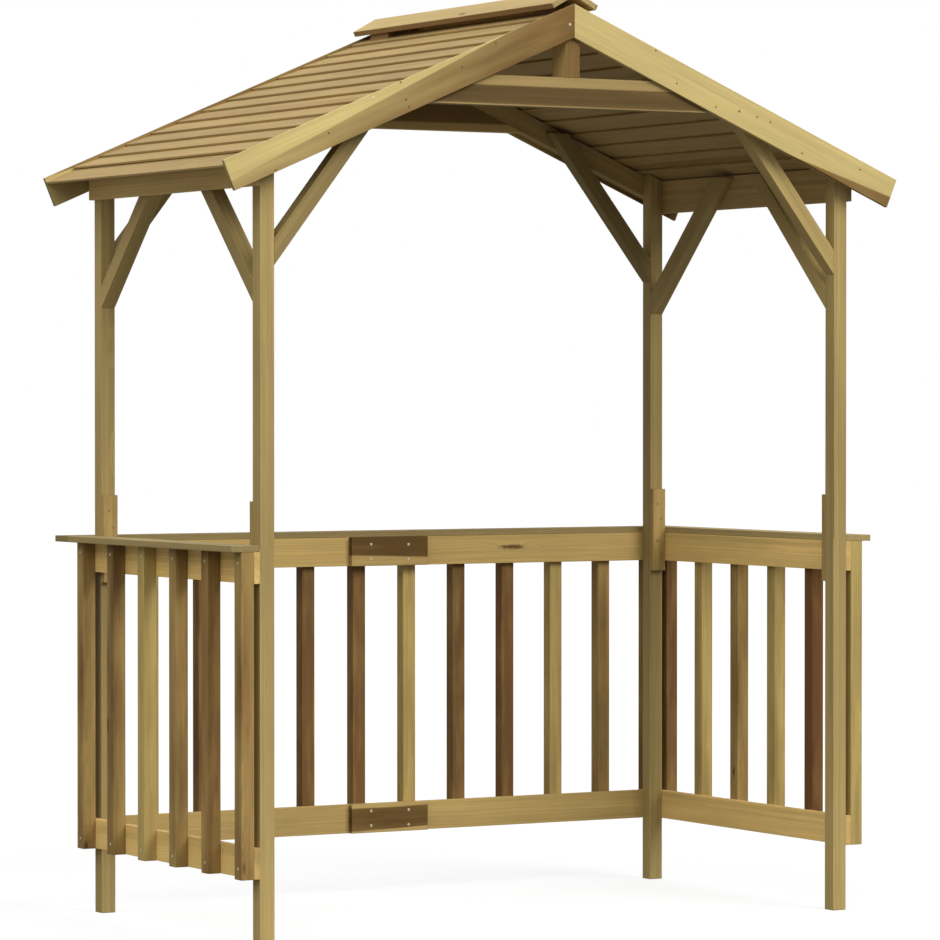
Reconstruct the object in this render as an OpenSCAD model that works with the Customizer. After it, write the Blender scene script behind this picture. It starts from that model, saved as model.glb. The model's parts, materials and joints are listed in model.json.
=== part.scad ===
// Garden gazebo: an open timber frame under a gable roof of lapped boards,
// with slat railings on the left, back and right and a narrow counter on top of them.
// Millimetres. +Z is up, +Y points to the back and +X to the right, seen from the open front.
// The origin is on the ground, in the middle of the box around the whole gazebo.

/* [Frame] */
// Width over the outer faces of the posts
frame_w = 1822; // [1400:2:2400]
// Depth over the outer faces of the posts
frame_d = 992; // [800:2:1400]
// Side of a square post
post = 42; // [36:1:60]
// Height where the lower and the upper length of a post meet
post_joint_z = 1030; // [900:5:1150]
// Length of the plate that joins the two lengths of a post
splice_l = 240; // [160:5:320]
// Thickness of the plate that joins the two lengths of a post
splice_t = 17; // [12:0.5:24]

/* [Railing] */
// Height of the counter's top face
counter_z = 1038; // [900:2:1150]
// Width of a counter board
counter_w = 82; // [70:1:120]
// Thickness of a counter board
counter_t = 17; // [12:0.5:24]
// Height of a rail
rail_h = 82; // [60:1:110]
// Thickness of a rail
rail_t = 17; // [12:0.5:24]
// Height of the bottom rail's lower edge
bottom_rail_z = 179; // [100:1:260]
// Length of the plate that joins the two lengths of a back rail
rail_splice_l = 248; // [160:4:320]
// Thickness of the plate that joins the two lengths of a back rail
rail_splice_t = 17; // [12:0.5:24]
// Saw gap between the two lengths of a back rail
rail_joint = 1; // [0.5:0.5:3]
// Width of a slat, along the railing
slat_w = 40; // [28:1:44]
// Thickness of a slat, out from the rail
slat_t = 37; // [18:1:44]
// Slats on each side
side_slats = 6; // [4:1:8]
// Slats on the back
back_slats = 12; // [8:1:14]

/* [Gable] */
// Slope of the roof, in degrees
pitch = 23; // [20:0.5:26]
// Reach of the eave beyond the posts' outer faces
eave_out = 131; // [80:1:240]
// Height of a barge board, square to its length
barge_h = 83; // [70:1:110]
// Thickness of a barge board
barge_t = 12; // [10:0.5:24]
// Height of a rafter, square to its length
rafter_h = 56; // [40:1:70]
// Thickness of a rafter and of a tie beam
rafter_t = 42; // [28:0.5:45]
// Drop from the barge boards' apex to a tie beam's lower edge
tie_drop = 276; // [240:1:300]
// Height of a tie beam
tie_h = 80; // [60:1:90]
// Width of a king post
king_w = 46; // [36:1:60]
// Depth of a king post, back from the barge boards
king_d = 65; // [40:1:80]

/* [Plates and braces] */
// Height of a side plate's lower edge
plate_z = 1960; // [1800:5:2200]
// Height of a side plate's outer face
plate_h = 88.5; // [60:0.5:110]
// Thickness of a side plate
plate_t = 17; // [12:0.5:24]
// Width of a brace, square to its length
brace_w = 42; // [30:1:46]
// Thickness of a brace, in from the outer face of its post
brace_t = 42; // [20:1:42]
// Rise of a gable brace's lower edge, from its post to its top end
gable_brace_rise = 429; // [340:1:480]
// Angle of a gable brace from upright, in degrees
gable_brace_angle = 38; // [34:0.5:42]
// Rise of a side brace's lower edge, from its post to its top end
side_brace_rise = 385; // [300:1:420]
// Angle of a side brace from upright, in degrees
side_brace_angle = 45; // [38:0.5:48]

/* [Roof] */
// Drop from the barge boards' top edge to the rafters' top edge, square to the slope
board_drop = 18; // [14:0.5:28]
// Thickness of a roof board
roof_board_t = 6; // [5:0.5:10]
// Width of a roof board
roof_board_w = 110; // [98:1:130]
// Part of a roof board that shows below the next one up
roof_exposure = 85.8; // [76:0.2:92]
// Part of the lowest roof board that shows
eave_exposure = 93; // [60:1:98]
// Gap between two lapped roof boards
lap_gap = 0.3; // [0.2:0.1:1]
// Distance from the apex to the highest board, along the slope
ridge_gap = 14; // [12:1:20]

/* [Ridge] */
// Rise of the cap's ridge over the barge boards' apex
ridge_rise = 38; // [34:0.5:60]
// Slope of a cap board, in degrees
cap_pitch = 29; // [26:0.5:32]
// Width of a cap board
cap_w = 83; // [70:1:110]
// Thickness of a cap board
cap_t = 15; // [10:0.5:18]
// Length of a block under the cap
block_l = 105; // [60:5:240]
// Distance from a barge board to the nearest block
block_inset = 59; // [10:1:80]
// Distance from the middle to a block's inner side
block_x = 15; // [12:1:30]
// Width of a back block
block_w = 40; // [20:1:45]
// Width of a front block, which sits close under the ridge
front_block_w = 8; // [6:1:20]

/* [Hidden] */
hx = frame_w / 2;
post_x = hx - post;
gable_out = rafter_t + barge_t;
back_out = max(gable_out, counter_w);
y_front = gable_out - (gable_out + frame_d + back_out) / 2;
y_back = y_front + frame_d;
barge_front = y_front - rafter_t;
barge_back = y_back + rafter_t;
slope_l = (hx + eave_out) / cos(pitch);
rafter_low = board_drop + rafter_h;
rail_top = counter_z - counter_t;
back_rail_end = hx + rail_t;
back_rail_mid = (back_rail_end - hx) / 2;
plate_top = plate_z + plate_h;
apex_z = plate_top + (hx + plate_t) * tan(pitch) + board_drop / cos(pitch);
ridge_z = apex_z + ridge_rise;
tie_z = apex_z - tie_drop;
gable_brace_z = tie_z - gable_brace_rise;
side_brace_z = plate_top - side_brace_rise;
lap_tilt = asin((roof_board_t + lap_gap) / roof_exposure);
courses = floor((slope_l - eave_exposure - ridge_gap - 40) / roof_exposure) + 2;
top_course = course_up(courses - 1);
top_board = slope_pt(top_course, roof_board_t / cos(lap_tilt) - board_drop);
pine = [0.70, 0.60, 0.36];
board = [0.66, 0.54, 0.32];
roofing = [0.72, 0.60, 0.42];
slatting = [0.60, 0.50, 0.28];

// A point on a roof slope: u down the slope from the apex, n square out of the barge board's top edge
function slope_pt(u, n) = [
    u * cos(pitch) + n * sin(pitch),
    apex_z - u * sin(pitch) + n * cos(pitch)
];

// Height of the line n out from the barge board's top edge, at distance x from the middle
function line_z(n, x) = apex_z + n / cos(pitch) - x * tan(pitch);

// Distance from the middle where the line n out from the barge board's top edge has height z
function line_x(n, z) = (apex_z + n / cos(pitch) - z) / tan(pitch);

// Lower edge of course i, counted from the eave, as a distance down the slope
function course_low(i) = i == 0 ? slope_l : slope_l - eave_exposure - (i - 1) * roof_exposure;

// Upper edge of course i before the highest one is ripped
function course_up(i) = course_low(i) - roof_board_w;

// Height of the highest board's top face at distance x from the middle
function top_board_z(x) = top_board[1] - (x - top_board[0]) * tan(pitch - lap_tilt);

// Height of the cap's underside at distance x from the middle
function cap_under_z(x) = ridge_z - cap_t / cos(cap_pitch) - x * tan(cap_pitch);

// A point on the right cap board: u down from the ridge, n square out of its top face
function cap_pt(u, n) = [
    u * cos(cap_pitch) + n * sin(cap_pitch),
    ridge_z - u * sin(cap_pitch) + n * cos(cap_pitch)
];

// A prism with an outline seen from the front, from y0 to y1
module gable_solid(points, y0, y1) {
    translate([0, y1, 0])
    rotate([90, 0, 0])
    linear_extrude(height = y1 - y0)
    polygon(points);
}

// A prism with an outline seen from the right, from x0 to x1
module side_solid(points, x0, x1) {
    translate([x0, 0, 0])
    rotate([90, 0, 90])
    linear_extrude(height = x1 - x0)
    polygon(points);
}

// The same piece on the left of the middle
module flip_left() {
    mirror([1, 0, 0])
    children();
}

// Room under the rafters' top edges on the right half
module under_roof() {
    gable_solid(
        [[0, 0], [2 * hx, 0], [2 * hx, line_z(-board_drop, 2 * hx)], [0, line_z(-board_drop, 0)]],
        y_front - 10,
        y_back + 10
    );
}

// Lower length of a right post whose front face is at y0
module lower_post(y0) {
    color(pine)
    translate([post_x, y0, 0])
    cube([post, post, post_joint_z]);
}

// Upper length of a right post, cut to the roof's slope at the top
module upper_post(y0) {
    color(pine)
    gable_solid(
        [
            [post_x, post_joint_z],
            [hx, post_joint_z],
            [hx, line_z(-board_drop, hx)],
            [post_x, line_z(-board_drop, post_x)]
        ],
        y0,
        y0 + post
    );
}

// Plate over the joint of a right post, from y0 back
module post_splice(y0) {
    color(board)
    translate([post_x, y0, post_joint_z - splice_l / 2])
    cube([post, splice_t, splice_l]);
}

// Plate along the right posts' outer faces, with its top cut to the roof's slope
module side_plate() {
    color(board)
    gable_solid(
        [
            [hx, plate_z],
            [hx + plate_t, plate_z],
            [hx + plate_t, plate_top],
            [hx, line_z(-board_drop, hx)]
        ],
        y_front,
        y_back
    );
}

// Brace from a right post to the side plate: from y0 towards the middle, dir is 1 at the front
module side_brace(y0, dir) {
    foot = side_brace_z + brace_w / sin(side_brace_angle);
    reach_low = (plate_top - side_brace_z) * tan(side_brace_angle);
    reach_high = (plate_top - foot) * tan(side_brace_angle);
    color(pine)
    side_solid(
        [
            [y0, side_brace_z],
            [y0 + dir * reach_low, plate_top],
            [y0 + dir * reach_high, plate_top],
            [y0, foot]
        ],
        hx - brace_t,
        hx
    );
}

// Brace from a right post to the tie beam's level, from y0 to y0 plus its thickness
module gable_brace(y0) {
    foot = gable_brace_z + brace_w / sin(gable_brace_angle);
    color(pine)
    intersection() {
        gable_solid(
            [
                [post_x, gable_brace_z],
                [post_x, foot],
                [post_x - (tie_z - foot) * tan(gable_brace_angle), tie_z],
                [post_x - (tie_z - gable_brace_z) * tan(gable_brace_angle), tie_z]
            ],
            y0,
            y0 + brace_t
        );
        under_roof();
    }
}

// Right rafter from the king post's side to the posts' outer face, cut plumb at both ends
module rafter(y0) {
    near = king_w / 2;
    color(pine)
    gable_solid(
        [
            [near, line_z(-board_drop, near)],
            [hx, line_z(-board_drop, hx)],
            [hx, line_z(-rafter_low, hx)],
            [near, line_z(-rafter_low, near)]
        ],
        y0,
        y0 + rafter_t
    );
}

// Tie beam between the rafters' lower edges
module tie_beam(y0) {
    low = line_x(-rafter_low, tie_z);
    high = line_x(-rafter_low, tie_z + tie_h);
    color(pine)
    gable_solid(
        [[-low, tie_z], [low, tie_z], [high, tie_z + tie_h], [-high, tie_z + tie_h]],
        y0,
        y0 + rafter_t
    );
}

// King post from the tie beam to the apex
module king_post(y0) {
    side = king_w / 2;
    color(pine)
    gable_solid(
        [
            [-side, tie_z + tie_h],
            [side, tie_z + tie_h],
            [side, line_z(-board_drop, side)],
            [0, line_z(-board_drop, 0)],
            [-side, line_z(-board_drop, side)]
        ],
        y0,
        y0 + king_d
    );
}

// Right barge board, with a plumb joint at the apex and a square end at the eave
module barge(y0) {
    color(board)
    gable_solid(
        [
            [0, apex_z],
            slope_pt(slope_l, 0),
            slope_pt(slope_l, -barge_h),
            [0, line_z(-barge_h, 0)]
        ],
        y0,
        y0 + barge_t
    );
}

// One board of the right slope: the lowest lies flat on the rafters, each other on the board below it
module roof_board(i) {
    tilt = i == 0 ? 0 : lap_tilt;
    rip = max(0, ridge_gap - course_up(i)) / cos(tilt);
    wide = (course_low(i) - course_up(i)) / cos(tilt);
    translate([course_up(i), barge_front, -board_drop])
    rotate([0, -tilt, 0])
    translate([rip, 0, 0])
    cube([wide - rip, barge_back - barge_front, roof_board_t]);
}

// All boards of the right slope
module slope_boards() {
    color(roofing)
    translate([0, 0, apex_z])
    rotate([0, pitch, 0])
    for (i = [0 : courses - 1])
        roof_board(i);
}

// Right cap board
module cap_board() {
    color(roofing)
    gable_solid(
        [
            [0, ridge_z],
            cap_pt(cap_w, 0),
            cap_pt(cap_w, -cap_t),
            [0, cap_under_z(0)]
        ],
        barge_front - barge_t,
        barge_back + barge_t
    );
}

// Block between the highest right board and the cap, from y0
module cap_block(y0, wide) {
    far = block_x + wide;
    gable_solid(
        [
            [block_x, top_board_z(block_x)],
            [far, top_board_z(far)],
            [far, cap_under_z(far)],
            [block_x, cap_under_z(block_x)]
        ],
        y0,
        y0 + block_l
    );
}

// Rail on the right posts' outer faces
module side_rail(z0) {
    color(board)
    translate([hx, y_front, z0])
    cube([rail_t, frame_d, rail_h]);
}

// Rail on the back posts' outer faces, in two equal lengths; it covers the right rail's end
module back_rail(z0) {
    long = (hx + back_rail_end - rail_joint) / 2;
    color(board)
    for (x0 = [-hx, back_rail_mid + rail_joint / 2])
        translate([x0, y_back, z0])
        cube([long, rail_t, rail_h]);
}

// Plate over the joint of a back rail, on its inner face
module rail_splice(z0) {
    color(board)
    translate([back_rail_mid - rail_splice_l / 2, y_back - rail_splice_t, z0])
    cube([rail_splice_l, rail_splice_t, rail_h]);
}

// Slats on the outer faces of the right rails
module side_slat_row() {
    step = (frame_d - slat_w) / (side_slats - 1);
    color(slatting)
    for (i = [0 : side_slats - 1])
        translate([hx + rail_t, y_front + i * step, bottom_rail_z])
        cube([slat_t, slat_w, rail_top - bottom_rail_z]);
}

// Counter board over the right rail and slats
module side_counter() {
    color(board)
    translate([hx, y_front, rail_top])
    cube([counter_w, frame_d, counter_t]);
}

module front_left_lower_post() {
    flip_left() lower_post(y_front);
}

module front_right_lower_post() {
    lower_post(y_front);
}

module back_left_lower_post() {
    flip_left() lower_post(y_back - post);
}

module back_right_lower_post() {
    lower_post(y_back - post);
}

module front_left_upper_post() {
    flip_left() upper_post(y_front);
}

module front_right_upper_post() {
    upper_post(y_front);
}

module back_left_upper_post() {
    flip_left() upper_post(y_back - post);
}

module back_right_upper_post() {
    upper_post(y_back - post);
}

module front_left_post_splice() {
    flip_left() post_splice(y_front + post);
}

module front_right_post_splice() {
    post_splice(y_front + post);
}

module back_left_post_splice() {
    flip_left() post_splice(y_back - post - splice_t);
}

module back_right_post_splice() {
    post_splice(y_back - post - splice_t);
}

module left_plate() {
    flip_left() side_plate();
}

module right_plate() {
    side_plate();
}

module front_left_side_brace() {
    flip_left() side_brace(y_front + post, 1);
}

module front_right_side_brace() {
    side_brace(y_front + post, 1);
}

module back_left_side_brace() {
    flip_left() side_brace(y_back - post, -1);
}

module back_right_side_brace() {
    side_brace(y_back - post, -1);
}

module front_left_gable_brace() {
    flip_left() gable_brace(y_front);
}

module front_right_gable_brace() {
    gable_brace(y_front);
}

module back_left_gable_brace() {
    flip_left() gable_brace(y_back - brace_t);
}

module back_right_gable_brace() {
    gable_brace(y_back - brace_t);
}

module front_left_rafter() {
    flip_left() rafter(barge_front);
}

module front_right_rafter() {
    rafter(barge_front);
}

module back_left_rafter() {
    flip_left() rafter(y_back);
}

module back_right_rafter() {
    rafter(y_back);
}

module front_tie() {
    tie_beam(barge_front);
}

module back_tie() {
    tie_beam(y_back);
}

module front_king_post() {
    king_post(barge_front);
}

module back_king_post() {
    king_post(barge_back - king_d);
}

module front_left_barge() {
    flip_left() barge(barge_front - barge_t);
}

module front_right_barge() {
    barge(barge_front - barge_t);
}

module back_left_barge() {
    flip_left() barge(barge_back);
}

module back_right_barge() {
    barge(barge_back);
}

module left_roof_boards() {
    flip_left() slope_boards();
}

module right_roof_boards() {
    slope_boards();
}

module left_ridge_cap() {
    flip_left() cap_board();
}

module right_ridge_cap() {
    cap_board();
}

module ridge_blocks() {
    front_y = barge_front + block_inset;
    back_y = barge_back - block_inset - block_l;
    color(board) {
        cap_block(front_y, front_block_w);
        cap_block(back_y, block_w);
        flip_left() cap_block(front_y, front_block_w);
        flip_left() cap_block(back_y, block_w);
    }
}

module left_top_rail() {
    flip_left() side_rail(rail_top - rail_h);
}

module left_bottom_rail() {
    flip_left() side_rail(bottom_rail_z);
}

module right_top_rail() {
    side_rail(rail_top - rail_h);
}

module right_bottom_rail() {
    side_rail(bottom_rail_z);
}

module back_top_rail() {
    back_rail(rail_top - rail_h);
}

module back_bottom_rail() {
    back_rail(bottom_rail_z);
}

module back_top_splice() {
    rail_splice(rail_top - rail_h);
}

module back_bottom_splice() {
    rail_splice(bottom_rail_z);
}

module left_slats() {
    flip_left() side_slat_row();
}

module right_slats() {
    side_slat_row();
}

module back_slats_row() {
    step = (hx + back_rail_end - slat_w) / (back_slats - 1);
    color(slatting)
    for (i = [0 : back_slats - 1])
        translate([i * step - hx, y_back + rail_t, bottom_rail_z])
        cube([slat_w, slat_t, rail_top - bottom_rail_z]);
}

module left_counter() {
    flip_left() side_counter();
}

module right_counter() {
    side_counter();
}

module back_counter() {
    color(board)
    translate([-hx - counter_w, y_back, rail_top])
    cube([frame_w + 2 * counter_w, counter_w, counter_t]);
}

front_left_lower_post();
front_right_lower_post();
back_left_lower_post();
back_right_lower_post();
front_left_upper_post();
front_right_upper_post();
back_left_upper_post();
back_right_upper_post();
front_left_post_splice();
front_right_post_splice();
back_left_post_splice();
back_right_post_splice();
left_plate();
right_plate();
front_left_side_brace();
front_right_side_brace();
back_left_side_brace();
back_right_side_brace();
front_left_gable_brace();
front_right_gable_brace();
back_left_gable_brace();
back_right_gable_brace();
front_left_rafter();
front_right_rafter();
back_left_rafter();
back_right_rafter();
front_tie();
back_tie();
front_king_post();
back_king_post();
front_left_barge();
front_right_barge();
back_left_barge();
back_right_barge();
left_roof_boards();
right_roof_boards();
left_ridge_cap();
right_ridge_cap();
ridge_blocks();
left_top_rail();
left_bottom_rail();
right_top_rail();
right_bottom_rail();
back_top_rail();
back_bottom_rail();
back_top_splice();
back_bottom_splice();
left_slats();
right_slats();
back_slats_row();
left_counter();
right_counter();
back_counter();
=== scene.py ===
# %% [markdown]
# # A garden gazebo of treated softwood
# The gazebo is nothing but sawn and planed sticks: posts, braces, boards and slats.
# The CAD model already gives every stick its length and its cuts, so this script
# doesn't model them again. It eases their edges, gives each one its own piece of wood,
# drives the screws and sets up a plain studio round it.

import json
import math

import bmesh
import bpy
from mathutils import Matrix, Vector


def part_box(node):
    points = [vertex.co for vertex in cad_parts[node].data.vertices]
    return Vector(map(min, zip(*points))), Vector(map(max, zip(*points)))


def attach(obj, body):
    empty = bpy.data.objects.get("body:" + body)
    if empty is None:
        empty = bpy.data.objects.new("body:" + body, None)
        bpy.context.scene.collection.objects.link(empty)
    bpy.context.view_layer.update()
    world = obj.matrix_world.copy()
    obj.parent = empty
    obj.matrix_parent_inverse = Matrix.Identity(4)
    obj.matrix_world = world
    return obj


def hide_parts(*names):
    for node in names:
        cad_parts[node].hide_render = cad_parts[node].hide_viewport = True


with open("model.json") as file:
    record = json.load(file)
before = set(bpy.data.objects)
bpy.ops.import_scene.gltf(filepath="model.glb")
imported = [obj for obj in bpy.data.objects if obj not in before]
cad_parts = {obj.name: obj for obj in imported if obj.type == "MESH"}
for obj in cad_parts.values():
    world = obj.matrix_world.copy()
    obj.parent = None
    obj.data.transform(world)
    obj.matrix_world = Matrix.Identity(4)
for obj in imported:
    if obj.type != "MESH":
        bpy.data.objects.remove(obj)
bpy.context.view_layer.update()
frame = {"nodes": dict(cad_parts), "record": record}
nodes = frame["nodes"]
slot_of = {part["node"]: part["material_slot"] for part in frame["record"]["subparts"]}

# %% [markdown]
# ## Where the camera stood
# A photograph taken from far away with a long lens hardly narrows towards the back.
# The place and the lens below come from matching the posts, rails and barge boards of
# the photograph, so the picture and the model can be compared line by line.

# %% Camera
MM = 0.001
IMAGE_SIDE = 940
FOCAL_PIXELS = 4556.4
SENSOR_WIDTH = 36.0
CAMERA_PLACE = Vector((-6273.4, -10908.2, 1410.2)) * MM
CAMERA_YAW = 29.92
CAMERA_PITCH = 0.875

camera = bpy.data.objects.new("camera", bpy.data.cameras.new("camera"))
bpy.context.collection.objects.link(camera)
camera.location = CAMERA_PLACE
camera.rotation_euler = (math.radians(90 - CAMERA_PITCH), 0, math.radians(-CAMERA_YAW))
camera.data.sensor_width = SENSOR_WIDTH
camera.data.lens = FOCAL_PIXELS / IMAGE_SIDE * SENSOR_WIDTH
camera.data.clip_end = 200
bpy.context.scene.camera = camera
print("lens", round(camera.data.lens, 1), "mm")

# %% [markdown]
# ## One stick at a time
# A CAD node can hold several loose sticks, such as a whole row of slats. Each stick is
# one tree's wood, with its own rings and colour, so the copy of a node is first merged,
# cleared of the triangles' diagonals and taken apart into its loose pieces.


# %% Split a node into sticks
SAME_POINT = 0.01 * MM
SAME_PLANE = math.radians(1)


def loose_sticks(node):
    whole = bmesh.new()
    whole.from_mesh(nodes[node].data)
    whole.transform(nodes[node].matrix_world)
    bmesh.ops.remove_doubles(whole, verts=whole.verts[:], dist=SAME_POINT)
    bmesh.ops.dissolve_limit(
        whole,
        angle_limit=SAME_PLANE,
        verts=whole.verts[:],
        edges=whole.edges[:],
    )
    whole.verts.ensure_lookup_table()
    whole.verts.index_update()
    unseen = set(range(len(whole.verts)))
    sticks = []
    while unseen:
        island, border = set(), [min(unseen)]
        while border:
            index = border.pop()
            if index in island:
                continue
            island.add(index)
            for edge in whole.verts[index].link_edges:
                border.append(edge.other_vert(whole.verts[index]).index)
        unseen -= island
        stick = whole.copy()
        stick.verts.ensure_lookup_table()
        others = [v for v in stick.verts if v.index not in island]
        bmesh.ops.delete(stick, geom=others, context="VERTS")
        sticks.append(stick)
    whole.free()
    return sticks


# %% [markdown]
# ## Which way the grain runs
# Timber is sawn along the trunk, so the grain follows a stick's longest edge, and its
# widest face shows the flat of the board. These two give every stick its own three
# directions: along, across and through. They are turned to point the same way on like
# pieces, so that "the upper edge" means the same on all of them. On a square stick the
# face towards the front counts as the flat.


# %% Directions of a stick
LIES_ALONG = 0.2
FRONT_BONUS = 0.002


def facing_up(direction):
    largest = max(direction, key=abs)
    return direction.normalized() * (1 if largest > 0 else -1)


def grain_axes(stick):
    longest = max(stick.edges, key=lambda e: e.calc_length())
    along = facing_up(longest.verts[1].co - longest.verts[0].co)
    flats = [f for f in stick.faces if abs(f.normal.dot(along)) < LIES_ALONG]
    widest = max(flats, key=lambda f: f.calc_area() + abs(f.normal.y) * FRONT_BONUS)
    through = facing_up(widest.normal)
    across = through.cross(along).normalized()
    return along, across, through


def middle_of(stick, axes):
    middle = Vector()
    for axis in axes:
        reach = [v.co.dot(axis) for v in stick.verts]
        middle += axis * (min(reach) + max(reach)) / 2
    return middle


# %% [markdown]
# ## Where a stick sat in the tree
# What makes softwood look like wood is the place of the pith, the trunk's centre. Close
# to it the wood is brown heart, further out pale sap, and the rings are circles around
# it. So each stick carries, on its vertices, its own coordinates ("timber"), the place
# of the pith beside it and how it drifts along the stick ("pith"), its seed, heart size
# and shade ("tone"), how brown and how red its heart is ("stain"), how much browner it
# gets towards one end ("deepen"), and the place and size of a knot ("knot"). One
# material can then cut all of these sticks out of different trees.


# %% The wood of one stick
class Wood:
    """A stick's place in its tree, its colours and a knot, lengths in metres"""

    def __init__(self, seed):
        self.seed = seed
        self.pith = (0.0, 0.0, 0.0)
        self.heart = 0.0
        self.shade = 1.0
        self.brown = 1.0
        self.red = 0.0
        self.deepen = 0.0
        self.knot = None
        self.knot_size = 0.0
        self.knot_round = 0.42


# %% [markdown]
# ## Write the wood on the vertices
# Values on the vertices travel with the mesh, so the wood stays where it is if a piece is
# moved later. The faces that cross the grain are the sawn ends, and they are marked too.

# %% Mark a stick
CROSSES_GRAIN = 0.6


def mark_wood(stick, axes, middle, wood):
    layers = stick.verts.layers
    timber, pith, tone, stain, knot = (
        layers.float_vector.new(name) for name in ("timber", "pith", "tone", "stain", "knot")
    )
    deepen, end = (layers.float.new(name) for name in ("deepen", "endgrain"))
    along, across, through = axes
    spot = wood.knot if wood.knot else middle
    for vert in stick.verts:
        offset = vert.co - middle
        vert[timber] = (vert.co.dot(along), offset.dot(across), offset.dot(through))
        vert[pith] = wood.pith
        vert[tone] = (wood.seed, wood.heart, wood.shade)
        vert[stain] = (wood.brown, wood.red, wood.knot_round)
        vert[knot] = (spot.dot(along), (spot - middle).dot(across), wood.knot_size)
        vert[deepen] = wood.deepen
    for face in stick.faces:
        if abs(face.normal.dot(along)) > CROSSES_GRAIN:
            for vert in face.verts:
                vert[end] = 1.0


# %% [markdown]
# ## Ease the edges
# A planer leaves sharp edges, and handling and a touch of sandpaper take them off. The
# light catches that narrow round, so every edge gets a small bevel. Sawn roof boards are
# thinner and keep crisper edges. The two lengths of a post meet without a gap, so the
# edges of that joint stay sharp.

# %% Edges to ease
EDGE_EASE = 1.4 * MM
BOARD_EASE = 0.8 * MM
EASE_STEPS = 2
NEAR = 0.1 * MM
JOINT_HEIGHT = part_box("front_left_upper_post")[0][2]


def at_joint(edge):
    return all(abs(v.co.z - JOINT_HEIGHT) < NEAR for v in edge.verts)


def ease(stick, node):
    is_post = node.endswith("er_post")
    bmesh.ops.bevel(
        stick,
        geom=[e for e in stick.edges if not (is_post and at_joint(e))],
        offset=BOARD_EASE if slot_of[node] == "roof_board" else EDGE_EASE,
        affect="EDGES",
        segments=EASE_STEPS,
        profile=0.5,
        material=-1,
        clamp_overlap=True,
    )
    stick.normal_update()


# %% [markdown]
# ## Room for screw heads
# The barge boards are the outermost pieces at the front and back, and two screw heads
# stand a little proud of one of them. Planing the outer faces back by the height of a
# head keeps the whole model inside the box that the solids fill.

# %% Plane the barge boards
HEAD_ROOM = 1.0 * MM


def plane_outer_face(stick):
    outer = max(abs(v.co.y) for v in stick.verts)
    for vert in stick.verts:
        if abs(abs(vert.co.y) - outer) < NEAR:
            vert.co.y -= math.copysign(HEAD_ROOM, vert.co.y)


# %% [markdown]
# ## Dress a node
# Each stick is eased and marked, and the sticks of a node go back together as one piece
# that stands in for the node. Weighted normals keep the flats looking flat beside the
# small bevels. The ridge cap has a finish of its own, a little paler than the boards.

# %% Dress a node
FLAT_WEIGHT = 100


def gather(node, choose):
    made = bmesh.new()
    for number, stick in enumerate(loose_sticks(node)):
        axes = grain_axes(stick)
        if node.endswith("barge"):
            plane_outer_face(stick)
        middle = middle_of(stick, axes)
        ease(stick, node)
        mark_wood(stick, axes, middle, choose(node, number, middle))
        part = bpy.data.meshes.new(node)
        stick.to_mesh(part)
        stick.free()
        made.from_mesh(part)
        bpy.data.meshes.remove(part)
    return made


def dress(node, choose):
    made = gather(node, choose)
    mesh = bpy.data.meshes.new("dressed_" + node)
    made.to_mesh(mesh)
    made.free()
    mesh.shade_smooth()
    mesh.materials.append(finishes["cap_board" if "ridge" in node else slot_of[node]])
    piece = bpy.data.objects.new("dressed_" + node, mesh)
    bpy.context.collection.objects.link(piece)
    piece.modifiers.new("keep flats flat", "WEIGHTED_NORMAL").weight = FLAT_WEIGHT
    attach(piece, "root")
    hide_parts(node)


# %% [markdown]
# ## Tools for a material
# A material made by hand is a graph of small nodes. The helpers below add one node each
# and join it up, so that the wood further on reads like a sum and not like wiring.


# %% Node helpers
def linear(red, green, blue):
    """A colour as read off a screen, 0 to 255, in the numbers that shaders use"""
    out = []
    for value in (red, green, blue):
        share = value / 255
        out.append(share / 12.92 if share <= 0.04045 else ((share + 0.055) / 1.055) ** 2.4)
    return (*out, 1.0)


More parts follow.
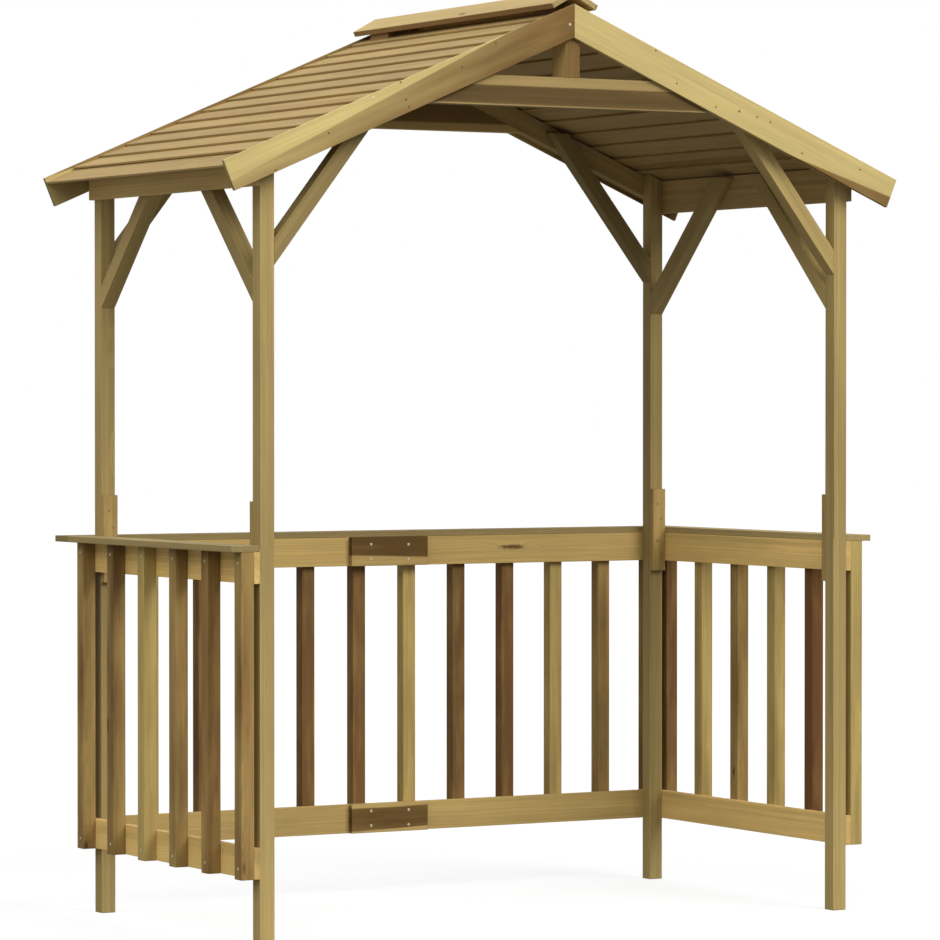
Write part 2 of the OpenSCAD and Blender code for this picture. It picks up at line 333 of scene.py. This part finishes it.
class Tree:
    """Adds nodes to a material and joins them"""

    def __init__(self, name):
        self.material = bpy.data.materials.new(name)
        self.material.use_nodes = True
        self.tree = self.material.node_tree
        self.shader = self.tree.nodes["Principled BSDF"]

    def add(self, kind, **settings):
        node = self.tree.nodes.new(kind)
        for key, value in settings.items():
            setattr(node, key, value)
        return node

    def feed(self, value, socket):
        if isinstance(value, bpy.types.NodeSocket):
            self.tree.links.new(value, socket)
        else:
            socket.default_value = value

    def math(self, operation, *values, clamp=False):
        node = self.add("ShaderNodeMath", operation=operation, use_clamp=clamp)
        for value, socket in zip(values, node.inputs):
            self.feed(value, socket)
        return node.outputs[0]

    def vector(self, x, y, z):
        node = self.add("ShaderNodeCombineXYZ")
        for value, socket in zip((x, y, z), node.inputs):
            self.feed(value, socket)
        return node.outputs[0]

    def split(self, attribute):
        source = self.add("ShaderNodeAttribute", attribute_name=attribute)
        node = self.add("ShaderNodeSeparateXYZ")
        self.tree.links.new(source.outputs["Vector"], node.inputs[0])
        return node.outputs[:3]

    def noise(self, vector, detail=2.0, rough=0.5):
        node = self.add("ShaderNodeTexNoise")
        self.feed(vector, node.inputs["Vector"])
        self.feed(1.0, node.inputs["Scale"])
        self.feed(detail, node.inputs["Detail"])
        self.feed(rough, node.inputs["Roughness"])
        return node.outputs["Fac"]

    def ramp(self, value, low, high):
        node = self.add("ShaderNodeMapRange", interpolation_type="SMOOTHSTEP")
        self.feed(value, node.inputs["Value"])
        self.feed(low, node.inputs["From Min"])
        self.feed(high, node.inputs["From Max"])
        return node.outputs["Result"]

    def fade(self, value, low, high):
        return self.math("SUBTRACT", 1.0, self.ramp(value, low, high))

    def mix(self, share, first, second, blend="MIX"):
        node = self.add("ShaderNodeMix", data_type="RGBA", blend_type=blend)
        colours = [s for s in node.inputs if s.type == "RGBA"]
        self.feed(share, node.inputs["Factor"])
        self.feed(first, colours[0])
        self.feed(second, colours[1])
        return [s for s in node.outputs if s.type == "RGBA"][0]

    def length(self, x, y):
        return self.math("SQRT", self.math("MULTIPLY_ADD", x, x, self.math("MULTIPLY", y, y)))


# %% [markdown]
# ## Treated softwood
# Pressure treatment turns pale sapwood a greenish yellow and leaves the heart brown. One
# kind of material serves all the sticks, because it reads each stick's wood from the
# vertices. Noise is laid along the grain: slow along the stick and fast across it.

# %% What the material knows of a stick
SEED_SPREAD = 37.0


class Grain(Tree):
    """A material that reads a stick's wood from its vertices"""

    def __init__(self, name):
        super().__init__(name)
        self.along, self.across, self.through = self.split("timber")
        self.pith_across, self.pith_through, self.drift = self.split("pith")
        self.seed, self.heart, self.shade = self.split("tone")
        self.brown, self.red, self.knot_round = self.split("stain")
        self.knot_along, self.knot_across, self.knot_size = self.split("knot")
        self.deepen = self.single("deepen")
        self.end = self.single("endgrain")
        self.far = self.math("MULTIPLY", self.seed, SEED_SPREAD)

    def single(self, attribute):
        return self.add("ShaderNodeAttribute", attribute_name=attribute).outputs["Fac"]

    def place(self, scale_along, scale_across):
        return self.vector(
            self.math("MULTIPLY_ADD", self.along, scale_along, self.far),
            self.math("MULTIPLY_ADD", self.across, scale_across, self.far),
            self.math("MULTIPLY", self.through, scale_across),
        )

    def grain_noise(self, scale_along, scale_across, detail=2.0, rough=0.5):
        return self.noise(self.place(scale_along, scale_across), detail, rough)

    def scaled(self, grey, value, gain, base):
        return self.math("MULTIPLY", grey, self.math("MULTIPLY_ADD", value, gain, base))


# %% [markdown]
# ## Knots
# A branch leaves a knot: a dark spot with the rings bent round it. Small knots sit where
# random cells allow one, and a stick can carry one large knot at a chosen place, with a
# ragged rim. Both give a distance from the knot's middle, from which the darkness of the
# spot and the bend of the rings are read.

# %% Small and large knots
CELLS_ALONG, CELLS_ACROSS = 3.0, 9.0
CELLS_WITHOUT = 0.72
RAGGED = 1.1
RAGGED_ALONG, RAGGED_ACROSS = 70.0, 150.0
LEAST_KNOT = 1.0 * MM


def small_knots(t):
    cells = t.add("ShaderNodeTexVoronoi")
    t.feed(t.place(CELLS_ALONG, CELLS_ACROSS), cells.inputs["Vector"])
    t.feed(1.0, cells.inputs["Scale"])
    pick = t.add("ShaderNodeSeparateColor")
    t.feed(cells.outputs["Color"], pick.inputs[0])
    allowed = t.math("GREATER_THAN", pick.outputs[0], CELLS_WITHOUT)
    return cells.outputs["Distance"], allowed


def large_knot(t):
    off_along = t.math("SUBTRACT", t.along, t.knot_along)
    off = t.length(
        t.math("MULTIPLY", off_along, t.knot_round),
        t.math("SUBTRACT", t.across, t.knot_across),
    )
    away = t.math("DIVIDE", off, t.math("MAXIMUM", t.knot_size, LEAST_KNOT))
    rag = t.math("SUBTRACT", t.grain_noise(RAGGED_ALONG, RAGGED_ACROSS), 0.5)
    present = t.math("GREATER_THAN", t.knot_size, 1.5 * LEAST_KNOT)
    return t.math("MULTIPLY_ADD", rag, RAGGED, away), present


# %% [markdown]
# ## Pin knots, and what knots do
# Thin twigs leave pin knots the size of a match head, and the barge boards are strewn with
# them. All the kinds come together in two numbers: how far the rings bend, and how dark
# the spot is.

# %% Knots together
SMALL_BEND, LARGE_BEND = (0.02, 0.24), (0.4, 3.2)
SMALL_DARK, LARGE_DARK = (0.035, 0.085), (0.30, 1.15)
PIN_CORE, PIN_RIM = 1.7 * MM, 3.6 * MM
KNOT_STRENGTH = 0.88


def pin_knots(t, per_metre):
    spots = t.add("ShaderNodeTexVoronoi", voronoi_dimensions="2D")
    t.feed(t.place(per_metre, per_metre), spots.inputs["Vector"])
    t.feed(1.0, spots.inputs["Scale"])
    return t.fade(spots.outputs["Distance"], PIN_CORE * per_metre, PIN_RIM * per_metre)


def knots(t, pins):
    small, allowed = small_knots(t)
    large, present = large_knot(t)
    bend = t.math(
        "MAXIMUM",
        t.math("MULTIPLY", t.fade(small, *SMALL_BEND), allowed),
        t.math("MULTIPLY", t.fade(large, *LARGE_BEND), present),
    )
    dark = t.math(
        "MAXIMUM",
        t.math("MULTIPLY", t.fade(small, *SMALL_DARK), allowed),
        t.math("MULTIPLY", t.fade(large, *LARGE_DARK), present),
    )
    if pins:
        dark = t.math("MAXIMUM", dark, pin_knots(t, pins))
    return bend, t.math("MULTIPLY", dark, KNOT_STRENGTH)


# %% [markdown]
# ## Heart, sap and rings
# The distance from the pith gives both the heart's border and the year rings. A trunk is
# never quite straight, so the pith wanders with slow noise, and knots push the rings
# aside. The brown of the heart lies in patches, because the treatment soaks in unevenly.
# Each ring ends in a dark line of late wood.

# %% Heart, sap and rings
WANDER_ALONG, WANDER_ACROSS = 1.5, 4.0
KNOT_PUSH = 9.0 * MM
HEART_BORDER = (-2.0 * MM, 3.0 * MM)
LEAST_HEART = 1.0 * MM
CORE_LOSS, CORE_BASE = -0.12, 1.04
PATCH_ALONG, PATCH_ACROSS = 4.0, 26.0
RING_WIDTH = 4.2 * MM
LATE_WOOD = 2.2


def ring_radius(t, bend, wander):
    slow = t.grain_noise(WANDER_ALONG, WANDER_ACROSS)
    sway = t.math("MULTIPLY_ADD", slow, wander, -wander / 2)
    lean = t.math("MULTIPLY_ADD", t.along, t.drift, t.pith_across)
    radius = t.length(
        t.math("ADD", t.math("SUBTRACT", t.across, lean), sway),
        t.math("SUBTRACT", t.through, t.pith_through),
    )
    return t.math("MULTIPLY_ADD", bend, KNOT_PUSH, radius)


def heart_and_sap(t, radius, sap, heart, blotch):
    sapwood = t.ramp(t.math("SUBTRACT", radius, t.heart), *HEART_BORDER)
    core = t.math("DIVIDE", radius, t.math("MAXIMUM", t.heart, LEAST_HEART), clamp=True)
    brown = t.math("MULTIPLY_ADD", t.along, t.deepen, t.brown)
    patch = t.math("SUBTRACT", t.grain_noise(PATCH_ALONG, PATCH_ACROSS, 3.0), 0.5)
    brown = t.math("MULTIPLY_ADD", patch, blotch, brown)
    core_share = t.math("MULTIPLY_ADD", core, CORE_LOSS, CORE_BASE)
    browned = t.math("MULTIPLY", brown, core_share, clamp=True)
    return t.mix(sapwood, t.mix(browned, sap, heart), sap)


def late_wood(t, radius):
    year = t.math("FRACT", t.math("DIVIDE", radius, RING_WIDTH))
    return t.math("POWER", year, LATE_WOOD)


# %% [markdown]
# ## Fibres, end grain and shade
# Planed softwood is never one flat colour. Fine fibres and longer streaks run along it,
# slow clouds lie over it, and the sawn ends are darker, because they drink in more of the
# treatment. Red-brown sticks lean a little away from green and blue.

# %% Fibres and tint
RING_GAIN, RING_BASE = -0.17, 1.05
FIBRE_GAIN, FIBRE_BASE = 0.30, 0.85
STREAK_GAIN, STREAK_BASE = 0.40, 0.80
CLOUD_GAIN, CLOUD_BASE = 0.50, 0.75
REDDEN = (0.10, -0.06, -0.10)


def tint(t, line, fibre, end_dark):
    grey = t.math("MULTIPLY_ADD", line, RING_GAIN, RING_BASE)
    grey = t.scaled(grey, fibre, FIBRE_GAIN, FIBRE_BASE)
    grey = t.scaled(grey, t.grain_noise(1.2, 70.0), STREAK_GAIN, STREAK_BASE)
    grey = t.scaled(grey, t.grain_noise(2.0, 8.0, 3.0), CLOUD_GAIN, CLOUD_BASE)
    grey = t.scaled(grey, t.end, -end_dark, 1.0)
    grey = t.math("MULTIPLY", grey, t.shade)
    return t.vector(*(t.scaled(grey, t.red, gain, 1.0) for gain in REDDEN))


# %% [markdown]
# ## The whole material
# Heart and sap are multiplied by the tint, and the knots go on top. The surface is matt,
# with the rings and fibres just raised, as on planed boards that have been rained on.

# %% Softwood
KNOT = linear(84, 55, 27)
ROUGHNESS, SHINE = 0.75, 0.2
RELIEF, RELIEF_HEIGHT = 0.22, 0.6 * MM
RING_RELIEF, FIBRE_RELIEF = 0.5, 0.6


def softwood(name, sap, heart, end_dark, wander, blotch, pins):
    t = Grain(name)
    bend, dark = knots(t, pins)
    radius = ring_radius(t, bend, wander)
    line = late_wood(t, radius)
    fibre = t.grain_noise(6.0, 240.0, 3.0, 0.6)
    colour = heart_and_sap(t, radius, sap, heart, blotch)
    colour = t.mix(1.0, colour, tint(t, line, fibre, end_dark), "MULTIPLY")
    t.feed(t.mix(dark, colour, KNOT), t.shader.inputs["Base Color"])
    t.feed(ROUGHNESS, t.shader.inputs["Roughness"])
    t.feed(SHINE, t.shader.inputs["Specular IOR Level"])
    bump = t.add("ShaderNodeBump")
    t.feed(RELIEF, bump.inputs["Strength"])
    t.feed(RELIEF_HEIGHT, bump.inputs["Distance"])
    fibres = t.math("MULTIPLY", fibre, FIBRE_RELIEF)
    t.feed(t.math("MULTIPLY_ADD", line, RING_RELIEF, fibres), bump.inputs["Height"])
    t.feed(bump.outputs["Normal"], t.shader.inputs["Normal"])
    return t.material


# %% [markdown]
# ## One finish for each slot of the record
# The slots differ in the stock they were bought as. Posts and slats are olive yellow or
# brown, barge boards were picked from the palest sapwood, and the sawn roof boards have
# dried to a warm tan. Each row gives the colours of sap and heart, how much darker the
# sawn ends are, how far the pith wanders in metres, how strong the brown patches are and
# how many pin knots there are to a metre.

# %% Finishes
STOCK = {
    "post_timber": ((174, 150, 94), (132, 100, 56), 0.25, 0.036, 0.15, 0.0),
    "gable_timber": ((172, 146, 92), (106, 82, 44), 0.25, 0.010, 0.30, 0.0),
    "barge_board": ((210, 187, 122), (116, 80, 34), 0.45, 0.006, 0.50, 7.0),
    "roof_board": ((164, 137, 86), (136, 105, 58), 0.35, 0.036, 0.15, 0.0),
    # the cap's heart colour is painted shade, on the cap's low edge and on the ridge blocks
    "cap_board": ((192, 166, 110), (146, 115, 74), 0.20, 0.004, 0.15, 0.0),
    "rail_board": ((206, 174, 106), (112, 82, 38), 0.28, 0.036, 0.70, 0.0),
    "slat_timber": ((172, 149, 88), (104, 76, 40), 0.30, 0.036, 1.30, 0.0),
    "counter_board": ((170, 148, 96), (128, 102, 60), 0.15, 0.036, 0.15, 0.0),
}
finishes = {
    slot: softwood(slot, linear(*sap), linear(*heart), *rest)
    for slot, (sap, heart, *rest) in STOCK.items()
}
print("finishes", sorted(finishes))


# %% [markdown]
# ## A tree for every stick
# Most sticks take a random place in a random tree, which is what a timber yard hands
# out. Their seeds come from their names, so each run gives the same wood.


# %% Random trees
def chance(*keys):
    """A number from 0 to 1 that depends only on the keys"""
    total = sum(ord(c) * (i + 7) for i, c in enumerate("/".join(map(str, keys))))
    return math.sin(total * 12.9898) * 43758.5453 % 1


def between(low, high, *keys):
    return low + (high - low) * chance(*keys)


def random_wood(node, number, middle):
    wood = Wood(chance(node, number, "seed"))
    wood.pith = (
        between(-0.040, 0.040, node, number, "across"),
        between(0.020, 0.070, node, number, "through"),
        between(-0.015, 0.015, node, number, "drift"),
    )
    wood.heart = between(0.0, 0.050, node, number, "heart")
    wood.shade = between(0.94, 1.06, node, number, "shade")
    wood.brown = between(0.3, 0.7, node, number, "brown")
    return wood


# %% [markdown]
# ## The roof
# Thin sawn boards lie in courses up each slope, and two wider boards cap the ridge. The
# boards are taken as they come. The cap boards are sap on top, with dark heart along the
# low edge as painted shade on the edge face that looks down, and the blocks that hold
# them off the roof are all dark heart as painted shade under the cap.

# %% Roof boards, cap and blocks
CAP_PITH = 46 * MM
CAP_EDGE_SHADE = 9 * MM
BLOCK_SHADE_HEART = 0.2


def cap_wood(node, number, middle):
    wood = random_wood(node, number, middle)
    low_edge = CAP_PITH if node.startswith("left") else -CAP_PITH
    # painted shade: the heart along the low edge darkens the edge face that looks down
    wood.pith, wood.heart, wood.brown = (low_edge, 0.0, 0.0), CAP_EDGE_SHADE, 1.0
    return wood


def block_painted_shade(node, number, middle):
    wood = random_wood(node, number, middle)
    # painted shade: the whole block is dark heart, for the shade under the cap
    wood.pith, wood.heart, wood.brown = (0.0, 0.0, 0.0), BLOCK_SHADE_HEART, 1.0
    return wood


for side in ("left", "right"):
    dress(f"{side}_roof_boards", random_wood)
    dress(f"{side}_ridge_cap", cap_wood)
dress("ridge_blocks", block_painted_shade)
print("roof dressed")


# %% [markdown]
# ## Slats picked off the pile
# The slats mix pale and brown sticks, and the mix is what gives the railing its rhythm.
# How brown each one is follows the photograph, from the front of the sides backwards and
# from left to right along the back. Slats that other pieces hide follow the same mix. A
# slat is found by its place in the row, so the order of the solids doesn't matter.

# %% Slats
SLAT_BROWN = {
    "left_slats": (0.58, 0.70, 0.50, 0.00, 0.66, 0.60),
    "right_slats": (0.00, 1.12, 0.10, 0.50, 0.10, 0.92),
    "back_slats_row": (
        *(0.60, 0.10, 0.90, 0.40, 1.00, 0.97),
        *(0.10, 0.90, 1.00, 0.15, 0.55, 0.85),
    ),
}
RUN_AXIS = {"left_slats": 1, "right_slats": 1, "back_slats_row": 0}
SLAT_KNOTS = {("right_slats", 3): (340 * MM, 8.0 * MM)}


def slat_index(node, middle):
    low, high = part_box(node)
    axis, count = RUN_AXIS[node], len(SLAT_BROWN[node])
    share = (middle[axis] - low[axis]) / (high[axis] - low[axis])
    return min(int(share * count), count - 1)


def slat_wood(node, number, middle):
    index = slat_index(node, middle)
    brown = SLAT_BROWN[node][index]
    wood = Wood(chance(node, index, "seed"))
    wood.pith = (
        between(-0.015, 0.015, node, index, "across"),
        between(-0.015, 0.015, node, index, "through"),
        between(-0.010, 0.010, node, index, "drift"),
    )
    wood.heart = between(0.044, 0.064, node, index, "heart")
    wood.brown = brown
    wood.red = between(0.1, 1.0, node, index, "red") * brown
    wood.shade = between(1.0, 1.06, node, index, "shade") - max(0.0, brown - 1)
    if (node, index) in SLAT_KNOTS:
        height, wood.knot_size = SLAT_KNOTS[node, index]
        wood.knot = Vector((middle.x, middle.y, height))
    return wood


for node in SLAT_BROWN:
    dress(node, slat_wood)
print("slats", sum(map(len, SLAT_BROWN.values())))

# %% [markdown]
# ## Sticks with a face of their own
# Large pieces are told apart by their wood: the brown edge of a barge board, a dark tie
# beam, the splice plates cut from an offcut of heart. Some pieces also carry painted light
# and shade: a raised or lowered shade, or heart on one face, where the roof, the counter
# or the slats shade them. The first table gives the place of the pith across and through
# the stick and its drift along it, the heart's radius, how brown it is and the shade. The
# others say which boards get browner towards one end, and where a large knot sits, in
# millimetres, with its size and roundness.

# %% Chosen trees
CHOSEN = {
    "front_left_lower_post": ((-0.030, 0.012, 0.0), 0.020, 0.02, 1.0),
    # painted shade: the lower length, behind the slats, is darker than the upper one, which
    # is lightened against the roof's shade
    "back_left_lower_post": ((0.010, 0.050, 0.0), 0.010, 0.3, 0.80),
    "back_left_upper_post": ((0.010, 0.050, 0.0), 0.010, 0.3, 1.12),
    "back_right_lower_post": ((0.010, 0.050, 0.0), 0.012, 0.5, 0.95),
    "back_right_upper_post": ((0.010, 0.050, 0.0), 0.012, 0.5, 0.95),
    "front_left_post_splice": ((0.0, 0.0, 0.0), 0.2, 0.35, 0.70),
    "front_right_post_splice": ((0.0, 0.0, 0.0), 0.2, 0.35, 0.70),
    "back_left_post_splice": ((0.0, 0.0, 0.0), 0.2, 0.35, 0.85),
    "back_right_post_splice": ((0.0, 0.0, 0.0), 0.2, 0.35, 0.78),
    "front_left_barge": ((0.067, -0.006, -0.0640), 0.062, 0.47, 0.89),
    "front_right_barge": ((0.0655, 0.0, -0.090), 0.040, 0.90, 0.85),
    # painted shade: heart along the top edge and a low shade darken the strip that shows
    # above the roof boards
    "back_left_barge": ((-0.0724, 0.0, 0.074), 0.042, 0.75, 0.75),
    "back_right_barge": ((0.0, 0.0, 0.0), 0.100, 0.75, 0.75),
    "front_left_gable_brace": ((0.01, 0.05, 0.0), 0.012, 0.5, 0.68),
    "back_right_gable_brace": ((0.01, 0.05, 0.0), 0.012, 0.5, 0.62),
    "front_left_side_brace": ((0.01, 0.05, 0.0), 0.012, 0.5, 0.78),
    "back_right_side_brace": ((0.01, 0.05, 0.0), 0.012, 0.5, 0.85),
    "front_tie": ((0.012, -0.021, 0.0), 0.024, 1.0, 0.76),
    "back_tie": ((-0.015, 0.010, 0.0), 0.045, 1.0, 1.35),
    # painted light and shade: heart darkens the front face in the barge's shadow, and the
    # high shade lightens the side lit from the left
    "front_king_post": ((0.050, 0.0, 0.0), 0.0295, 1.2, 1.40),
    # painted light: the high shade lightens the outer face that lies in the eave's shade
    "left_plate": ((0.010, 0.05, 0.0), 0.010, 0.3, 1.75),
    "right_plate": ((0.010, 0.05, 0.0), 0.010, 0.3, 1.20),
    # painted light: the high shade lightens the rail where the counter and the slats shade it
    "left_top_rail": ((0.0, 0.02, 0.0), 0.060, 0.15, 1.55),
    "left_bottom_rail": ((0.02, 0.03, 0.0), 0.040, 0.25, 1.12),
    "right_top_rail": ((0.03, 0.05, 0.0), 0.010, 0.30, 1.18),
    "right_bottom_rail": ((0.03, 0.05, 0.0), 0.010, 0.30, 1.15),
    "back_top_rail": ((0.02, 0.04, 0.0), 0.030, 0.40, 0.76),
    "back_bottom_rail": ((0.02, 0.04, 0.0), 0.020, 0.30, 0.70),
    "back_top_splice": ((-0.024, 0.0, 0.03), 0.043, 1.0, 0.66),
    "back_bottom_splice": ((0.0, 0.0, -0.03), 0.032, 1.0, 0.70),
    "back_counter": ((0.01, 0.05, 0.0), 0.012, 0.5, 0.68),
    "left_counter": ((0.01, 0.05, 0.0), 0.012, 0.5, 0.80),
}
DEEPEN = {"front_left_barge": 0.44, "back_right_barge": 0.90}
KNOTS = {
    "back_top_rail": ((424, 482, 986), 9.0, 0.19),
    "front_right_barge": ((522, -564, 2193), 4.0, 0.8),
    "front_left_barge": ((-511, -564, 2191), 4.0, 0.8),
}


# %% [markdown]
# ## The rest of the frame
# Pieces that the tables don't name share the plain olive stock of the posts. The two
# lengths of a post are cut from one stick, so they take the same seed and the grain runs
# on across the joint.

# %% Dress the frame
STOCK_HEART = 12 * MM
STOCK_BROWN = 0.5


def chosen_wood(node, number, middle):
    stick = node.replace("_lower", "").replace("_upper", "")
    wood = Wood(chance(stick, number, "seed"))
    wood.pith = (
        between(-0.025, 0.025, stick, number, "across"),
        between(0.030, 0.060, stick, number, "through"),
        0.0,
    )
    wood.heart, wood.brown = STOCK_HEART, STOCK_BROWN
    wood.shade = between(0.97, 1.03, stick, number, "shade")
    if node in CHOSEN:
        wood.pith, wood.heart, wood.brown, wood.shade = CHOSEN[node]
    wood.deepen = DEEPEN.get(node, 0.0)
    if node in KNOTS:
        spot, size, wood.knot_round = KNOTS[node]
        wood.knot = Vector(spot) * MM
        wood.knot_size = size * MM
    return wood


others = [node for node in nodes if not bpy.data.objects.get("dressed_" + node)]
for node in others:
    dress(node, chosen_wood)
print("chosen sticks", len(others))

# %% [markdown]
# ## Screw heads
# Every slat is held by one screw at each rail, and each splice plate by four. A head is a
# low dome with a recess in the middle, turned as one profile: the rows below are radius
# and height in millimetres, from the floor of the recess out to the rim and down into
# the wood. Its top stands just clear of the wood, so that it shows from the side too.

# %% Turn the heads
HEAD = ((1.3, 0.1), (1.5, 0.9), (3.3, 0.8), (4.1, 0.2), (4.1, -1.0))
HEAD_STEPS = 12


def turn_head(made, pose):
    rings = []
    for radius, height in HEAD:
        ring = []
        for step in range(HEAD_STEPS):
            angle = 2 * math.pi * step / HEAD_STEPS
            point = Vector((radius * math.cos(angle), radius * math.sin(angle), height))
            ring.append(made.verts.new(pose @ (point * MM)))
        rings.append(ring)
    made.faces.new(rings[0])
    for inner, outer in zip(rings, rings[1:]):
        for step in range(HEAD_STEPS):
            after = (step + 1) % HEAD_STEPS
            made.faces.new((inner[step], outer[step], outer[after], inner[after]))
    made.faces.new(rings[-1][::-1])


def drive(name, places, metal):
    made = bmesh.new()
    for spot, out in places:
        turn = Vector(out).to_track_quat("Z", "Y").to_matrix().to_4x4()
        turn_head(made, Matrix.Translation(Vector(spot) * MM) @ turn)
    bmesh.ops.recalc_face_normals(made, faces=made.faces[:])
    mesh = bpy.data.meshes.new(name)
    made.to_mesh(mesh)
    made.free()
    mesh.materials.append(metal)
    piece = bpy.data.objects.new(name, mesh)
    bpy.context.collection.objects.link(piece)
    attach(piece, "root")
    print(name, len(places))


# %% [markdown]
# ## Zinc-plated steel
# The screws are plated, and the plating goes dull in blotches when it weathers. Those in
# the post plates have dulled most and hardly show against the wood.

# %% Bright and dull zinc
ZINC_BLOTCHES = 900.0
ZINC_METAL, ZINC_ROUGHNESS = 0.6, 0.45


def zinc(name, dark, light):
    t = Tree(name)
    dull = t.add("ShaderNodeTexNoise")
    t.feed(t.add("ShaderNodeTexCoord").outputs["Object"], dull.inputs["Vector"])
    t.feed(ZINC_BLOTCHES, dull.inputs["Scale"])
    t.feed(t.mix(dull.outputs["Fac"], dark, light), t.shader.inputs["Base Color"])
    t.feed(ZINC_METAL, t.shader.inputs["Metallic"])
    t.feed(ZINC_ROUGHNESS, t.shader.inputs["Roughness"])
    return t.material


bright_zinc = zinc("bright_zinc", linear(190, 178, 150), linear(226, 216, 192))
dull_zinc = zinc("dull_zinc", linear(128, 108, 74), linear(168, 146, 104))

# %% [markdown]
# ## Screws in the slats
# They go in from outside, on the middle line of each slat and at the height of the two
# rails. The slats stand at equal steps, so the row's box gives the place of each one.

# %% Slat screws
SLAT_SCREW_HEIGHTS = (207, 993)
SLAT_WIDTH = 40


def box_mm(node):
    return [Vector(corner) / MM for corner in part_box(node)]


def slat_screws(node, side):
    low, high = box_mm(node)
    run = RUN_AXIS[node]
    axis = 1 - run
    count = len(SLAT_BROWN[node])
    step = (high[run] - low[run] - SLAT_WIDTH) / (count - 1)
    places = []
    for index in range(count):
        for height in SLAT_SCREW_HEIGHTS:
            spot, out = [0, 0, height], [0, 0, 0]
            spot[axis] = high[axis] if side > 0 else low[axis]
            spot[run] = low[run] + SLAT_WIDTH / 2 + index * step
            out[axis] = side
            places.append((spot, out))
    return places


drive("left_slat_screws", slat_screws("left_slats", -1), bright_zinc)
drive("right_slat_screws", slat_screws("right_slats", 1), bright_zinc)
drive("back_slat_screws", slat_screws("back_slats_row", 1), bright_zinc)

# %% [markdown]
# ## Screws in the plates and the barge board
# A plate over a joint needs two screws in each of the pieces it holds. They stand off the
# middle line, so that they don't split the wood along one fibre. The front left barge
# board shows one screw near the apex and one lower down the slope.

# %% Plate and barge screws
POST_PLATE = ((-5, 77), (6, 32), (-6, -32), (5, -77))
RAIL_PLATE = ((-61, 21), (61, 19), (-61, -21), (61, -23))
BARGE_SCREWS = ((-14, 2406), (-607, 2192))


def plate_screws(node, side, offsets):
    low, high = box_mm(node)
    face = high.y if side > 0 else low.y
    middle = (low + high) / 2
    return [((middle.x + x, face, middle.z + z), (0, side, 0)) for x, z in offsets]


post_plates, rail_plates = [], []
for side in ("left", "right"):
    post_plates += plate_screws(f"front_{side}_post_splice", 1, POST_PLATE)
    post_plates += plate_screws(f"back_{side}_post_splice", -1, POST_PLATE)
for level in ("top", "bottom"):
    rail_plates += plate_screws(f"back_{level}_splice", -1, RAIL_PLATE)
drive("post_plate_screws", post_plates, dull_zinc)
drive("rail_plate_screws", rail_plates, bright_zinc)
barge_face = box_mm("front_left_barge")[0].y + HEAD_ROOM / MM
barge_spots = [((x, barge_face, z), (0, -1, 0)) for x, z in BARGE_SCREWS]
drive("barge_screws", barge_spots, bright_zinc)

# %% [markdown]
# ## Floor
# The photograph shows the gazebo cut out on plain white. A wide floor takes the soft
# shadow and glows white where the camera looks at it directly. To everything else it is
# grey, so little light comes back up under the roof, as over grass.

# %% Floor
FLOOR_SIDE = 80.0
FLOOR_GREY = 0.19
FLOOR_GLOW = 0.80
FLOOR_ROUGHNESS = 0.9

floor_mesh = bpy.data.meshes.new("floor")
floor_shape = bmesh.new()
bmesh.ops.create_grid(floor_shape, x_segments=1, y_segments=1, size=FLOOR_SIDE / 2)
floor_shape.to_mesh(floor_mesh)
floor_shape.free()
floor = bpy.data.objects.new("floor", floor_mesh)
bpy.context.collection.objects.link(floor)

pale = Tree("pale floor")
pale.feed((FLOOR_GREY, FLOOR_GREY, FLOOR_GREY, 1), pale.shader.inputs["Base Color"])
pale.feed(FLOOR_ROUGHNESS, pale.shader.inputs["Roughness"])
pale.feed(0.0, pale.shader.inputs["Specular IOR Level"])
glow = pale.add("ShaderNodeEmission")
seen = pale.add("ShaderNodeLightPath").outputs["Is Camera Ray"]
pale.feed(pale.math("MULTIPLY", seen, FLOOR_GLOW), glow.inputs["Strength"])
total = pale.add("ShaderNodeAddShader")
pale.feed(pale.shader.outputs[0], total.inputs[0])
pale.feed(glow.outputs[0], total.inputs[1])
pale.feed(total.outputs[0], pale.tree.nodes["Material Output"].inputs["Surface"])
floor_mesh.materials.append(pale.material)
print("floor", FLOOR_SIDE, "m wide")

# %% [markdown]
# ## Sky and suns
# The sky is white to the camera and a weak even light to the wood, so the faces that look
# down stay dark. A broad sun stands at the front right, a broader one high on the left,
# and a weak one behind, which keeps the back readable. Each has its strength, its width
# in degrees and the direction it stands in.

# %% Sky and suns
SKY_LIGHT = 0.47
SUNS = {
    "key": (2.20, 35, (0.35, -0.90, 0.70)),
    "fill": (1.65, 60, (-0.55, -0.35, 0.65)),
    "back": (0.70, 60, (0.30, 0.85, 0.45)),
}

world = bpy.data.worlds.new("studio")
world.use_nodes = True
bpy.context.scene.world = world
sky = world.node_tree.nodes["Background"]
ray = world.node_tree.nodes.new("ShaderNodeLightPath")
choice = world.node_tree.nodes.new("ShaderNodeMix")
choice.inputs["A"].default_value = SKY_LIGHT
choice.inputs["B"].default_value = 1.0
world.node_tree.links.new(ray.outputs["Is Camera Ray"], choice.inputs["Factor"])
world.node_tree.links.new(choice.outputs["Result"], sky.inputs["Strength"])
sky.inputs["Color"].default_value = (1, 1, 1, 1)

for name, (strength, spread, direction) in SUNS.items():
    sun = bpy.data.objects.new(name, bpy.data.lights.new(name, "SUN"))
    sun.data.energy = strength
    sun.data.angle = math.radians(spread)
    sun.rotation_euler = (-Vector(direction)).to_track_quat("-Z", "Y").to_euler()
    bpy.context.collection.objects.link(sun)
bpy.context.scene.view_settings.view_transform = "Standard"
print("suns", list(SUNS))
